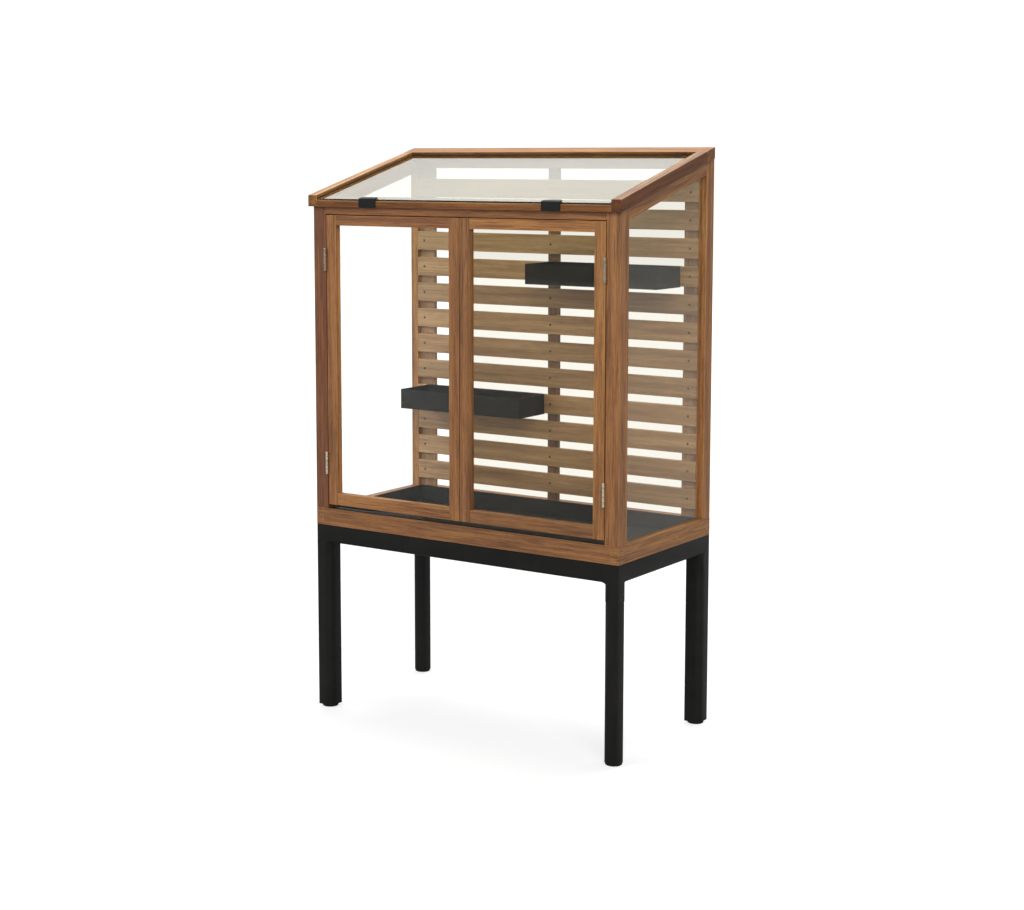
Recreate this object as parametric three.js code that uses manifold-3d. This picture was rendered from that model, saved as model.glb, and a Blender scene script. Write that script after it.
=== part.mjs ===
// Wooden mini greenhouse: a glazed teak cabinet with two doors, a slatted back and a sloping
// lid, on a black aluminium stand. Units are millimetres: X runs along the front, Y to the
// back and Z up. The origin is on the floor, under the middle of the whole outline.

import * as THREE from 'three';
import { mergeVertices } from 'three/addons/utils/BufferGeometryUtils.js';
import Module from 'manifold-3d';

const wasm = await Module();
wasm.setup();

// Cabinet and slope
const cabinetWidth = 908;
const cabinetDepth = 450;
const slope = THREE.MathUtils.degToRad(15);

// Stand: rails, leaf-shaped corner sockets, hollow legs of the same leaf shape and round glides
const standHeight = 486;
const railHeight = 46;
const railDepth = 30;
const railEdgeRadius = 8;
const railWall = 3;
const socketHeight = 91;
const socketSoftRadius = 18;
const longRailFillet = 8;
const shortRailFillet = 2;
const spigotLength = 40;
const legSection = 43;
const legSharpRadius = 1.5;
const legSoftRadius = 20;
const legWall = 3;
const footDiameter = 41;
const footHeight = 6;
const footEdge = 2.5;
const footPlugLength = 25;

// Finger-jointed base and the metal tray inside it. The base, the back posts and the side
// rails are of the same board.
const boardThickness = 23;
const baseHeight = 44;
const fingerCount = 6;
const traySheet = 1.5;
const trayLipSetback = 4;

// Posts, top rails and glass
const frontPostWidth = 38;
const postDepth = 38;
const frontRailHeight = 22;
const frontRailLip = 12;
const sideRailHeight = 32;
const backRailHeight = 28;
const glassThickness = 4;
const grooveDepth = 8;

// Slatted back
const slatCount = 12;
const slatHeight = 50;
const slatThickness = 12;
const slatBottomGap = 23;
const slatTopGap = 28;
const battenThickness = 14;
const sideBattenWidth = 47;
const centreBattenWidth = 31;

// Doors
const doorHeight = 744;
const doorThickness = 20;
const doorBottomGap = 11.5;
const doorTopGap = 2;
const doorMiddleGap = 2;
const stileWidth = 30;
const doorTopRail = 26;
const doorBottomRail = 31;

// Door hinges: brass, five knuckles each
const hingeLength = 58;
const hingeKnuckles = 5;
const hingeInsetTop = 84;
const hingeInsetBottom = 79;
const hingeKnuckleRadius = 3.4;
const hingePinRadius = 1.7;
const hingeKnuckleClearance = 1.6;
const hingeLeafThickness = 1.2;
const hingeLeafDepth = 16;

// Lid
const lidSideOverhang = 8;
const lidFrontOverhang = 12;
const lidDepth = 28;
const lidRailWidth = 28;
const lidBackRailWidth = 38;
const lidFrontRailWidth = 34;
const lidGlassInset = 8.5;
const lidPaneSetback = 1;
const clipWidth = 52;
const clipSheet = 2.5;
const clipHook = 10;
const clipInset = 163;

// Lid hinge: one long strip along the back
const stripEndInset = 21;
const stripKnuckles = 41;
const stripKnuckleRadius = 2.7;
const stripPinRadius = 1.2;
const stripLeafThickness = 1.2;
const stripLeafHeight = 20;

// Shelf trays that hang on a slat
const shelfWidth = 378;
const shelfDepth = 117;
const shelfSheet = 2;
const upperShelfSlat = 8;
const lowerShelfSlat = 3;
const upperShelfInset = 37;
const lowerShelfInset = 18;
const shelfHookWidth = 60;
const shelfHookSpacing = 220;
const shelfHookDrop = 12;

// Clearances
const glassClearance = 0.5;
const fitClearance = 0.3;
const endClearance = 0.5;
const overrun = 6;

// Eased edges of wood, and of thin pieces
const woodEase = 1.5;
const slatEase = 1.2;

// Smoothness of round shapes, in segments
const arcSegments = 6;
const roundSegments = 40;
const knuckleSegments = 12;

// Heights and planes that follow
const halfWidth = cabinetWidth / 2;
const halfDepth = cabinetDepth / 2;
const baseTop = standHeight + baseHeight;
const doorBottom = baseTop + doorBottomGap;
const doorTop = doorBottom + doorHeight;
const frontRailBottom = doorTop + doorTopGap;
const eavesHeight = frontRailBottom + frontRailHeight;
const frontPostBack = -halfDepth + postDepth;
const backPostFront = halfDepth - postDepth;
const slatBack = backPostFront + slatThickness;
const panelBack = slatBack + battenThickness;
const backPostInside = halfWidth - boardThickness;
const frontPostInside = halfWidth - frontPostWidth;

// The sloping plane on top of the posts and top rails, at a place along Y
const topPlane = (y) => eavesHeight + (y + halfDepth) * Math.tan(slope);

// The slats share out the height between their bottom gap and their top gap
const backRailBottom = topPlane(panelBack) - backRailHeight;
const lowestSlat = baseTop + slatBottomGap;
const highestSlat = backRailBottom - slatTopGap - slatHeight;
const slatPitch = (highestSlat - lowestSlat) / (slatCount - 1);
const slatBottom = (index) => lowestSlat + index * slatPitch;

const teak = new THREE.MeshStandardMaterial({ color: 0xa5692f, roughness: 0.65, metalness: 0 });
const slatTeak = new THREE.MeshStandardMaterial({ color: 0xa88459, roughness: 0.75, metalness: 0 });
const blackAluminium = new THREE.MeshStandardMaterial({ color: 0x242426, roughness: 0.55, metalness: 0.3 });
const trayMetal = new THREE.MeshStandardMaterial({ color: 0x3c3f40, roughness: 0.5, metalness: 0.4 });
const footPlastic = new THREE.MeshStandardMaterial({ color: 0x18181a, roughness: 0.6, metalness: 0 });
const clipBlack = new THREE.MeshStandardMaterial({ color: 0x0e0e0f, roughness: 0.5, metalness: 0 });
const brass = new THREE.MeshStandardMaterial({ color: 0xb9aa7a, roughness: 0.35, metalness: 1 });
const clearGlass = new THREE.MeshStandardMaterial({
  color: 0xe9f1ee, roughness: 0.05, metalness: 0, transparent: true, opacity: 0.3,
});

// Turn a closed geometry into a solid that can be joined and cut
function toSolid(geometry) {
  const bare = geometry.clone();
  bare.deleteAttribute('normal');
  bare.deleteAttribute('uv');
  const merged = mergeVertices(bare);
  return new wasm.Manifold(new wasm.Mesh({
    numProp: 3,
    vertProperties: new Float32Array(merged.attributes.position.array),
    triVerts: new Uint32Array(merged.index.array),
  }));
}

function toGeometry(solid) {
  const { vertProperties, triVerts } = solid.getMesh();
  const geometry = new THREE.BufferGeometry();
  geometry.setAttribute('position', new THREE.BufferAttribute(vertProperties, 3));
  geometry.setIndex(new THREE.BufferAttribute(triVerts, 1));
  const faceted = geometry.toNonIndexed();
  faceted.computeVertexNormals();
  return faceted;
}

const joined = (...solids) => solids.reduce((all, next) => all.add(next));
const cutBy = (solid, ...tools) => tools.reduce((left, tool) => left.subtract(tool), solid);

function named(name, solid, material) {
  const mesh = new THREE.Mesh(toGeometry(solid), material);
  mesh.name = name;
  return mesh;
}

// A solid box between two corners
function block([x0, x1], [y0, y1], [z0, z1]) {
  const geometry = new THREE.BoxGeometry(x1 - x0, y1 - y0, z1 - z0);
  geometry.translate((x0 + x1) / 2, (y0 + y1) / 2, (z0 + z1) / 2);
  return toSolid(geometry);
}

// Cut each corner of an outline back by the same amount along both sides
function easedCorners(points, ease) {
  const eased = [];
  points.forEach((corner, i) => {
    const before = points[(i + points.length - 1) % points.length];
    const after = points[(i + 1) % points.length];
    for (const neighbour of [before, after]) {
      eased.push(corner.clone().add(neighbour.clone().sub(corner).setLength(ease)));
    }
  });
  return eased;
}

// A straight length of a section. `axis` names the direction that it runs in; the section's
// two coordinates are the other two, in the order YZ, XZ or XY.
function extruded(section, axis, [start, end], ease = 0) {
  const outline = section.map(([a, b]) => new THREE.Vector2(a, b));
  if (THREE.ShapeUtils.area(outline) < 0) outline.reverse();
  const shape = new THREE.Shape(ease > 0 ? easedCorners(outline, ease) : outline);
  const geometry = new THREE.ExtrudeGeometry(shape, {
    depth: end - start - 2 * ease,
    bevelEnabled: ease > 0,
    bevelThickness: ease,
    bevelSize: ease,
    bevelOffset: -ease,
    bevelSegments: 1,
  });
  geometry.translate(0, 0, start + ease);
  if (axis === 'x') geometry.applyMatrix4(new THREE.Matrix4().set(
    0, 0, 1, 0,
    1, 0, 0, 0,
    0, 1, 0, 0,
    0, 0, 0, 1,
  ));
  if (axis === 'y') {
    geometry.applyMatrix4(new THREE.Matrix4().set(
      1, 0, 0, 0,
      0, 0, 1, 0,
      0, 1, 0, 0,
      0, 0, 0, 1,
    ));
    turnFacesOut(geometry);
  }
  return geometry;
}

// Swapping two axes mirrors a shape, so its triangles are wound the other way round
function turnFacesOut(geometry) {
  const position = geometry.attributes.position;
  for (let i = 0; i < position.count; i += 3) {
    const corner = new THREE.Vector3().fromBufferAttribute(position, i + 1);
    const next = new THREE.Vector3().fromBufferAttribute(position, i + 2);
    position.setXYZ(i + 1, next.x, next.y, next.z);
    position.setXYZ(i + 2, corner.x, corner.y, corner.z);
  }
}

const rectangle = ([a0, a1], [b0, b1]) => [[a0, b0], [a1, b0], [a1, b1], [a0, b1]];

// A wooden board with eased edges, running along one axis
const board = (axis, section, span, ease = woodEase) => extruded(section, axis, span, ease);

// The corner of an outline turned by an arc about a centre, from one angle to the next
function arc([a, b], radius, from, to, segments = arcSegments) {
  const points = [];
  for (let i = 0; i <= segments; i += 1) {
    const angle = from + ((to - from) * i) / segments;
    points.push([a + radius * Math.cos(angle), b + radius * Math.sin(angle)]);
  }
  return points;
}

// Square section with two soft and two sharp edges. The sharp ones lie on the diagonal that
// runs from low X and Y to high X and Y.
function leafOutline(section, sharpRadius, softRadius) {
  const reach = section / 2;
  const soft = reach - softRadius;
  const sharp = reach - sharpRadius;
  const quarter = Math.PI / 2;
  return [
    ...arc([sharp, sharp], sharpRadius, 0, quarter),
    ...arc([-soft, soft], softRadius, quarter, 2 * quarter),
    ...arc([-sharp, -sharp], sharpRadius, 2 * quarter, 3 * quarter),
    ...arc([soft, -soft], softRadius, 3 * quarter, 4 * quarter),
  ];
}

// A closed skin through outlines of as many points each, one above the other
function lofted(levels) {
  const count = levels[0].outline.length;
  const positions = [];
  const indices = [];
  for (const { outline, height } of levels) {
    for (const [x, y] of outline) positions.push(x, y, height);
  }
  for (let level = 0; level < levels.length - 1; level += 1) {
    for (let i = 0; i < count; i += 1) {
      const a = level * count + i;
      const b = level * count + ((i + 1) % count);
      indices.push(a, b, b + count, a, b + count, a + count);
    }
  }
  const capPoints = levels[0].outline.map(([x, y]) => new THREE.Vector2(x, y));
  const top = (levels.length - 1) * count;
  for (const [a, b, c] of THREE.ShapeUtils.triangulateShape(capPoints, [])) {
    indices.push(a, c, b, top + a, top + b, top + c);
  }
  const geometry = new THREE.BufferGeometry();
  geometry.setAttribute('position', new THREE.Float32BufferAttribute(positions, 3));
  geometry.setIndex(indices);
  return toSolid(geometry);
}

const cabinet = new THREE.Group();
const corners = [
  { name: 'front_left', x: -1, y: -1 },
  { name: 'front_right', x: 1, y: -1 },
  { name: 'back_left', x: -1, y: 1 },
  { name: 'back_right', x: 1, y: 1 },
];

// Stand frame: a ring of hollow rails, open along the inside, with a leaf-shaped socket under
// each corner that turns square between the rails. A spigot under each socket slides into the
// hollow leg. Rails and sockets are made too high and cut level.
const socketBottom = standHeight - socketHeight;
const railUnderside = standHeight - railHeight;
const railFlatInset = railEdgeRadius / 2;
const legCentreX = halfWidth - legSection / 2;
const legCentreY = halfDepth - legSection / 2;
const legBore = legSection - 2 * legWall;
const boreSoftRadius = legSoftRadius - legWall;
const insideLeg = leafOutline(
  legBore - 2 * fitClearance,
  legSharpRadius,
  boreSoftRadius - fitClearance,
);

// Legs are drawn for the corner at high X and Y, and turned to the others
const cornerTurn = (corner) => Math.atan2(corner.y, corner.x) - Math.PI / 4;

// Fillets between a socket and its two rails: the socket's outline grows by a quarter round,
// and what lies under the flat of a rail is kept. The one to the long rail is larger.
function socketFlare(fillet) {
  const levels = [];
  for (let i = 0; i <= arcSegments; i += 1) {
    const share = i / arcSegments;
    const angle = (share * Math.PI) / 2;
    const growth = fillet * (1 - Math.cos(angle)) - fitClearance * (1 - share);
    levels.push({
      outline: leafOutline(
        legSection + 2 * growth,
        legSharpRadius + growth,
        socketSoftRadius + growth,
      ),
      height: railUnderside - fillet + (fillet + fitClearance) * Math.sin(angle),
    });
  }
  levels.push({
    outline: levels[arcSegments].outline,
    height: railUnderside + railFlatInset,
  });
  return lofted(levels);
}

function socketFillets() {
  const reach = legSection / 2;
  const across = [reach - railDepth + railFlatInset, reach - railFlatInset];
  const along = (fillet) => [-reach - fillet - overrun, 0];
  const upright = (fillet) => [
    railUnderside - fillet - overrun,
    railUnderside + railEdgeRadius,
  ];
  return [
    socketFlare(longRailFillet)
      .intersect(block(along(longRailFillet), across, upright(longRailFillet))),
    socketFlare(shortRailFillet)
      .intersect(block(across, along(shortRailFillet), upright(shortRailFillet))),
  ];
}

function cornerSocket() {
  const leaf = leafOutline(legSection, legSharpRadius, socketSoftRadius);
  const square = leafOutline(legSection, legSharpRadius, legSharpRadius);
  return joined(
    lofted([
      { outline: leaf, height: socketBottom },
      { outline: leaf, height: railUnderside + fitClearance },
      { outline: square, height: railUnderside + railEdgeRadius },
      { outline: square, height: standHeight + overrun },
    ]),
    lofted([
      { outline: insideLeg, height: socketBottom - spigotLength },
      { outline: insideLeg, height: socketBottom + overrun },
    ]),
    ...socketFillets(),
  );
}

// Rail section with round lower edges; the first coordinate runs from the outer face inwards
function railSection(outer, inward) {
  const radius = railEdgeRadius;
  const low = standHeight - railHeight + radius;
  const section = [
    [0, standHeight + overrun],
    ...arc([radius, low], radius, Math.PI, 1.5 * Math.PI),
    ...arc([railDepth - radius, low], radius, 1.5 * Math.PI, 2 * Math.PI),
    [railDepth, standHeight + overrun],
  ];
  return section.map(([a, b]) => [outer + inward * a, b]);
}

// The hollow of a rail, with its slot through the inner face
function railHollow(outer, inward) {
  const radius = railEdgeRadius - railWall;
  const low = standHeight - railHeight + railEdgeRadius;
  const back = railDepth - railWall;
  const section = [
    [railWall, standHeight - railWall],
    ...arc([railEdgeRadius, low], radius, Math.PI, 1.5 * Math.PI),
    ...arc([railDepth - railEdgeRadius, low], radius, 1.5 * Math.PI, 2 * Math.PI),
    [railDepth + overrun, low],
    [railDepth + overrun, standHeight - railEdgeRadius],
    [back, standHeight - railEdgeRadius],
    [back, standHeight - railWall],
  ];
  return section.map(([a, b]) => [outer + inward * a, b]);
}

function standFrame() {
  const socketInX = halfWidth - legSection;
  const socketInY = halfDepth - legSection;
  const socket = cornerSocket();
  const pieces = corners.map((corner) => socket
    .scale([corner.x, corner.y, 1])
    .translate([corner.x * legCentreX, corner.y * legCentreY, 0]));
  const hollows = [];
  for (const side of [-1, 1]) {
    const runs = [
      ['x', side * halfDepth, socketInX],
      ['y', side * halfWidth, socketInY],
    ];
    for (const [axis, outer, reach] of runs) {
      const full = [-reach - overrun, reach + overrun];
      const inside = [-reach + railWall, reach - railWall];
      pieces.push(toSolid(extruded(railSection(outer, -side), axis, full)));
      hollows.push(toSolid(extruded(railHollow(outer, -side), axis, inside)));
    }
  }
  const level = block(
    [-halfWidth - overrun, halfWidth + overrun],
    [-halfDepth - overrun, halfDepth + overrun],
    [standHeight, standHeight + 2 * overrun],
  );
  return cutBy(joined(...pieces), level, ...hollows);
}

cabinet.add(named('stand_frame', standFrame(), blackAluminium));

// Legs: hollow extrusions, open at both ends
const legOuter = leafOutline(legSection, legSharpRadius, legSoftRadius);
const legInner = leafOutline(legBore, legSharpRadius, boreSoftRadius);
const legTube = cutBy(
  lofted([
    { outline: legOuter, height: footHeight },
    { outline: legOuter, height: socketBottom },
  ]),
  lofted([
    { outline: legInner, height: footHeight - overrun },
    { outline: legInner, height: socketBottom + overrun },
  ]),
);

// Feet: round glides with a plug that fills the end of the leg
const footProfile = [
  [0, 0],
  [footDiameter / 2 - footEdge, 0],
  [footDiameter / 2, footEdge],
  [footDiameter / 2, footHeight],
  [0, footHeight],
].map(([radius, height]) => new THREE.Vector2(radius, height));
const footDisc = new THREE.LatheGeometry(footProfile, roundSegments);
footDisc.rotateX(Math.PI / 2);
const foot = joined(
  toSolid(footDisc),
  lofted([
    { outline: insideLeg, height: footHeight / 2 },
    { outline: insideLeg, height: footHeight + footPlugLength },
  ]),
);

for (const corner of corners) {
  const leg = named(`leg_${corner.name}`, legTube, blackAluminium);
  const glide = named(`foot_${corner.name}`, foot, footPlastic);
  for (const piece of [leg, glide]) {
    piece.rotation.z = cornerTurn(corner);
    piece.position.set(corner.x * legCentreX, corner.y * legCentreY, 0);
    cabinet.add(piece);
  }
}

// The side panes lie in one plane each; every piece round them has the same groove, and the
// pane stands on its bottom
const paneX = halfWidth - boardThickness / 2;
const sideRailBottom = (y) => topPlane(y) - sideRailHeight;

function sidePaneOutline(insert) {
  const front = frontPostBack - insert;
  const back = backPostFront + insert;
  return [
    [front, baseTop - grooveDepth],
    [back, baseTop - grooveDepth],
    [back, sideRailBottom(back) + insert],
    [front, sideRailBottom(front) + insert],
  ];
}

function sideGroove(side) {
  const reach = glassThickness / 2 + glassClearance;
  const span = [side * paneX - reach, side * paneX + reach];
  return toSolid(extruded(sidePaneOutline(grooveDepth), 'x', span));
}

const grooved = (geometry, side) => cutBy(toSolid(geometry), sideGroove(side));

// Base boards: finger jointed, the front and back boards having the lowest finger
const fingerHeight = baseHeight / fingerCount;

function fingerNotches(first, place) {
  const notches = [];
  for (let i = first; i < fingerCount; i += 2) {
    const low = standHeight + i * fingerHeight;
    const under = i === 0 ? overrun : 0;
    const over = i === fingerCount - 1 ? overrun : 0;
    for (const end of [-1, 1]) notches.push(place(end, [low - under, low + fingerHeight + over]));
  }
  return notches;
}

for (const [name, side] of [['base_board_front', -1], ['base_board_back', 1]]) {
  const faces = [side * halfDepth, side * (halfDepth - boardThickness)].sort((a, b) => a - b);
  const across = [faces[0] - overrun, faces[1] + overrun];
  const notches = fingerNotches(1, (end, levels) => {
    const span = [end * (halfWidth - boardThickness), end * (halfWidth + overrun)];
    return block(span.sort((a, b) => a - b), across, levels);
  });
  const plain = block([-halfWidth, halfWidth], faces, [standHeight, baseTop]);
  cabinet.add(named(name, cutBy(plain, ...notches), teak));
}

for (const [name, side] of [['base_board_left', -1], ['base_board_right', 1]]) {
  const faces = [side * halfWidth, side * (halfWidth - boardThickness)].sort((a, b) => a - b);
  const across = [faces[0] - overrun, faces[1] + overrun];
  const notches = fingerNotches(0, (end, levels) => {
    const span = [end * (halfDepth - boardThickness), end * (halfDepth + overrun)];
    return block(across, span.sort((a, b) => a - b), levels);
  });
  const plain = block(faces, [-halfDepth, halfDepth], [standHeight, baseTop]);
  cabinet.add(named(name, cutBy(plain, ...notches, sideGroove(side)), teak));
}

// Plant tray: folded sheet that stands on the stand rails, with a lip over the front board
function plantTray() {
  const reachX = halfWidth - boardThickness - endClearance;
  const reachY = halfDepth - boardThickness - endClearance;
  const rim = baseTop - endClearance;
  const lipReach = frontPostInside - endClearance;
  const lipBottom = baseTop + fitClearance;
  const lip = [-halfDepth + trayLipSetback, -reachY + traySheet];
  return joined(
    cutBy(
      block([-reachX, reachX], [-reachY, reachY], [standHeight, rim]),
      block(
        [-reachX + traySheet, reachX - traySheet],
        [-reachY + traySheet, reachY - traySheet],
        [standHeight + traySheet, rim + overrun],
      ),
    ),
    block([-lipReach, lipReach], [-reachY, -reachY + traySheet], [standHeight, lipBottom + traySheet]),
    block([-lipReach, lipReach], lip, [lipBottom, lipBottom + traySheet]),
  );
}

cabinet.add(named('plant_tray', plantTray(), trayMetal));

// Posts stand on the base; their tops follow the slope
for (const corner of corners) {
  const front = corner.y < 0;
  const width = front ? frontPostWidth : boardThickness;
  const depth = front ? [-halfDepth, frontPostBack] : [backPostFront, halfDepth];
  const span = [corner.x * halfWidth, corner.x * (halfWidth - width)].sort((a, b) => a - b);
  const section = [
    [depth[0], baseTop],
    [depth[1], baseTop],
    [depth[1], topPlane(depth[1])],
    [depth[0], topPlane(depth[0])],
  ];
  const post = grooved(board('x', section, span), corner.x);
  cabinet.add(named(`post_${corner.name}`, post, teak));
}

// Side panes and the sloping rails over them
for (const [name, side] of [['left', -1], ['right', 1]]) {
  const span = [side * halfWidth, side * backPostInside].sort((a, b) => a - b);
  const section = [
    [frontPostBack, sideRailBottom(frontPostBack)],
    [backPostFront, sideRailBottom(backPostFront)],
    [backPostFront, topPlane(backPostFront)],
    [frontPostBack, topPlane(frontPostBack)],
  ];
  cabinet.add(named(`side_rail_${name}`, grooved(board('x', section, span), side), teak));

  const insert = grooveDepth - glassClearance;
  const faces = [side * paneX - glassThickness / 2, side * paneX + glassThickness / 2];
  const pane = extruded(sidePaneOutline(insert), 'x', faces);
  cabinet.add(named(`side_pane_${name}`, toSolid(pane), clearGlass));
}

// Front top rail: a lip behind the doors stops them when they close
const doorBack = -halfDepth + doorThickness;
const frontRailSection = [
  [-halfDepth, frontRailBottom],
  [doorBack + fitClearance, frontRailBottom],
  [doorBack + fitClearance, frontRailBottom - frontRailLip],
  [frontPostBack, frontRailBottom - frontRailLip],
  [frontPostBack, topPlane(frontPostBack)],
  [-halfDepth, topPlane(-halfDepth)],
];
const frontRail = board('x', frontRailSection, [-frontPostInside, frontPostInside]);
cabinet.add(named('front_top_rail', toSolid(frontRail), teak));

// Back top rail: it carries the lid hinge
const backRailSection = [
  [backPostFront, backRailBottom],
  [panelBack, backRailBottom],
  [panelBack, topPlane(panelBack)],
  [backPostFront, topPlane(backPostFront)],
];
const backRail = board('x', backRailSection, [-backPostInside, backPostInside]);
cabinet.add(named('back_top_rail', toSolid(backRail), teak));

// Back battens, and the slats screwed to them
const battens = [
  ['back_batten_left', [-backPostInside, -backPostInside + sideBattenWidth]],
  ['back_batten_centre', [-centreBattenWidth / 2, centreBattenWidth / 2]],
  ['back_batten_right', [backPostInside - sideBattenWidth, backPostInside]],
];
for (const [name, span] of battens) {
  const batten = board('z', rectangle(span, [slatBack, panelBack]), [baseTop, backRailBottom], slatEase);
  cabinet.add(named(name, toSolid(batten), slatTeak));
}

const slatReach = backPostInside - endClearance;
const slatSection = rectangle([backPostFront, slatBack], [0, slatHeight]);
const slat = toSolid(board('x', slatSection, [-slatReach, slatReach], slatEase));
for (let i = 0; i < slatCount; i += 1) {
  const piece = named(`back_slat_${String(i + 1).padStart(2, '0')}`, slat, slatTeak);
  piece.position.z = slatBottom(i);
  cabinet.add(piece);
}

// Shelf trays: open folded boxes as high as a slat, with a flange on the slat's top edge and two
// hooks behind it. The tray's origin is the middle of the slat's top front edge.
function shelfTray() {
  const back = -fitClearance;
  const front = back - shelfDepth;
  const reach = shelfWidth / 2;
  const flangeTop = fitClearance + shelfSheet;
  const hookBack = slatThickness + fitClearance;
  const pieces = [
    cutBy(
      block([-reach, reach], [front, back], [-slatHeight, 0]),
      block(
        [-reach + shelfSheet, reach - shelfSheet],
        [front + shelfSheet, back - shelfSheet],
        [-slatHeight + shelfSheet, overrun],
      ),
    ),
    block([-reach, reach], [back - shelfSheet, back], [-shelfSheet, flangeTop]),
    block(
      [-reach, reach],
      [back - shelfSheet, slatThickness - fitClearance],
      [fitClearance, flangeTop],
    ),
  ];
  for (const side of [-1, 1]) {
    const centre = (side * shelfHookSpacing) / 2;
    const span = [centre - shelfHookWidth / 2, centre + shelfHookWidth / 2];
    pieces.push(
      block(span, [back - shelfSheet, hookBack + shelfSheet], [fitClearance, flangeTop]),
      block(span, [hookBack, hookBack + shelfSheet], [-shelfHookDrop, flangeTop]),
    );
  }
  return joined(...pieces);
}

const shelves = [
  ['shelf_tray_upper', frontPostInside - upperShelfInset - shelfWidth / 2, upperShelfSlat],
  ['shelf_tray_lower', -frontPostInside + lowerShelfInset + shelfWidth / 2, lowerShelfSlat],
];
const shelfShape = shelfTray();
for (const [name, centre, slatIndex] of shelves) {
  const tray = named(name, shelfShape, trayMetal);
  tray.position.set(centre, backPostFront, slatBottom(slatIndex) + slatHeight);
  cabinet.add(tray);
}

// One leaf of a hinge whose pin lies along Z. Knuckles are shared out in turn between the two
// leaves; the leaf that holds the pin has the first and the last. `plate` is the flat part and
// `tab` its narrow reach to each knuckle, both as [X span, Y span].
function hingeLeaf({ length, knuckles, radius, pinRadius, holdsPin, plate, tab }) {
  const step = length / knuckles;
  const pieces = [block(plate[0], plate[1], [0, length])];
  for (let i = holdsPin ? 0 : 1; i < knuckles; i += 2) {
    const low = i * step + (i === 0 ? 0 : fitClearance / 2);
    const high = (i + 1) * step - (i === knuckles - 1 ? 0 : fitClearance / 2);
    const barrel = new THREE.CylinderGeometry(radius, radius, high - low, knuckleSegments);
    barrel.rotateX(Math.PI / 2).translate(0, 0, (low + high) / 2);
    let knuckle = joined(toSolid(barrel), block(tab[0], tab[1], [low, high]));
    if (!holdsPin) {
      const bore = pinRadius + fitClearance;
      const tool = new THREE.CylinderGeometry(bore, bore, high - low + overrun, knuckleSegments);
      tool.rotateX(Math.PI / 2).translate(0, 0, (low + high) / 2);
      knuckle = cutBy(knuckle, toSolid(tool));
    }
    pieces.push(knuckle);
  }
  if (holdsPin) {
    const pin = new THREE.CylinderGeometry(pinRadius, pinRadius, length, knuckleSegments);
    pin.rotateX(Math.PI / 2).translate(0, 0, length / 2);
    pieces.push(toSolid(pin));
  }
  return joined(...pieces);
}

// Door hinges: both leaves lie in the gap between door and post, behind the knuckles. `side`
// is the side of the pin, along X, that the leaf is on.
const doorSideGap = 2 * (hingeLeafThickness + fitClearance);
const hingePinProud = hingeKnuckleRadius + hingeKnuckleClearance;

function doorHingeLeaf(side, holdsPin) {
  const faces = [side * doorSideGap / 2, side * (doorSideGap / 2 - hingeLeafThickness)];
  faces.sort((a, b) => a - b);
  const start = hingeKnuckleRadius + fitClearance;
  return hingeLeaf({
    length: hingeLength,
    knuckles: hingeKnuckles,
    radius: hingeKnuckleRadius,
    pinRadius: hingePinRadius,
    holdsPin,
    plate: [faces, [start, hingePinProud + hingeLeafDepth]],
    tab: [faces, [0, start + fitClearance]],
  });
}

// Doors: each turns about a pin just in front of the gap beside its post
const pinX = frontPostInside - doorSideGap / 2;
const pinY = -halfDepth - hingePinProud;
const doorWidth = pinX - doorSideGap / 2 - doorMiddleGap / 2;
const hingeLevels = [
  ['upper', doorTop - hingeInsetTop - hingeLength],
  ['lower', doorBottom + hingeInsetBottom],
];

for (const [name, side] of [['left', -1], ['right', 1]]) {
  const inward = -side;
  const ordered = (a, b) => [inward * a, inward * b].sort((p, q) => p - q);
  const edge = doorSideGap / 2;
  const front = hingePinProud;
  const door = new THREE.Group();
  door.position.set(side * pinX, pinY, 0);

  const openingX = [edge + stileWidth, edge + doorWidth - stileWidth];
  const openingZ = [doorBottom + doorBottomRail, doorTop - doorTopRail];
  const grown = (insert) => [
    ordered(openingX[0] - insert, openingX[1] + insert),
    [openingZ[0] - grooveDepth, openingZ[1] + insert],
  ];
  const middle = front + doorThickness / 2;
  const grooveReach = glassThickness / 2 + glassClearance;
  const [groovePlaceX, groovePlaceZ] = grown(grooveDepth);
  const [panePlaceX, panePlaceZ] = grown(grooveDepth - glassClearance);
  const frame = cutBy(
    block(ordered(edge, edge + doorWidth), [front, front + doorThickness], [doorBottom, doorTop]),
    block(ordered(...openingX), [front - overrun, front + doorThickness + overrun], openingZ),
    block(groovePlaceX, [middle - grooveReach, middle + grooveReach], groovePlaceZ),
  );
  const pane = block(panePlaceX,
    [middle - glassThickness / 2, middle + glassThickness / 2], panePlaceZ);
  door.add(named(`door_frame_${name}`, frame, teak), named(`door_pane_${name}`, pane, clearGlass));

  for (const [level, height] of hingeLevels) {
    const postLeaf = named(`hinge_${name}_${level}_post_leaf`, doorHingeLeaf(side, true), brass);
    const doorLeaf = named(`hinge_${name}_${level}_door_leaf`, doorHingeLeaf(inward, false), brass);
    postLeaf.position.set(side * pinX, pinY, height);
    doorLeaf.position.z = height;
    cabinet.add(postLeaf);
    door.add(doorLeaf);
  }
  cabinet.add(door);
}

// Lid: all its sections are drawn from the side, from the cabinet's sloping top plane. `square`
// gives a point at a height square to that plane, and `plumb` one straight above it.
const square = (y, rise) => [y - rise * Math.sin(slope), topPlane(y) + rise * Math.cos(slope)];
const plumb = (y, rise) => [y, topPlane(y) + rise / Math.cos(slope)];
const lidUnder = fitClearance;
const lidTop = lidUnder + lidDepth;
const lidFront = -halfDepth - lidFrontOverhang;
const lidReach = halfWidth + lidSideOverhang;
const lidInside = lidReach - lidRailWidth;
const lidBackRailFront = panelBack - lidBackRailWidth * Math.cos(slope);
const lidGrooveBack = lidBackRailFront + grooveDepth * Math.cos(slope);
const paneTop = lidTop - lidGlassInset;
const paneUnder = paneTop - glassThickness;
const lid = new THREE.Group();

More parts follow.
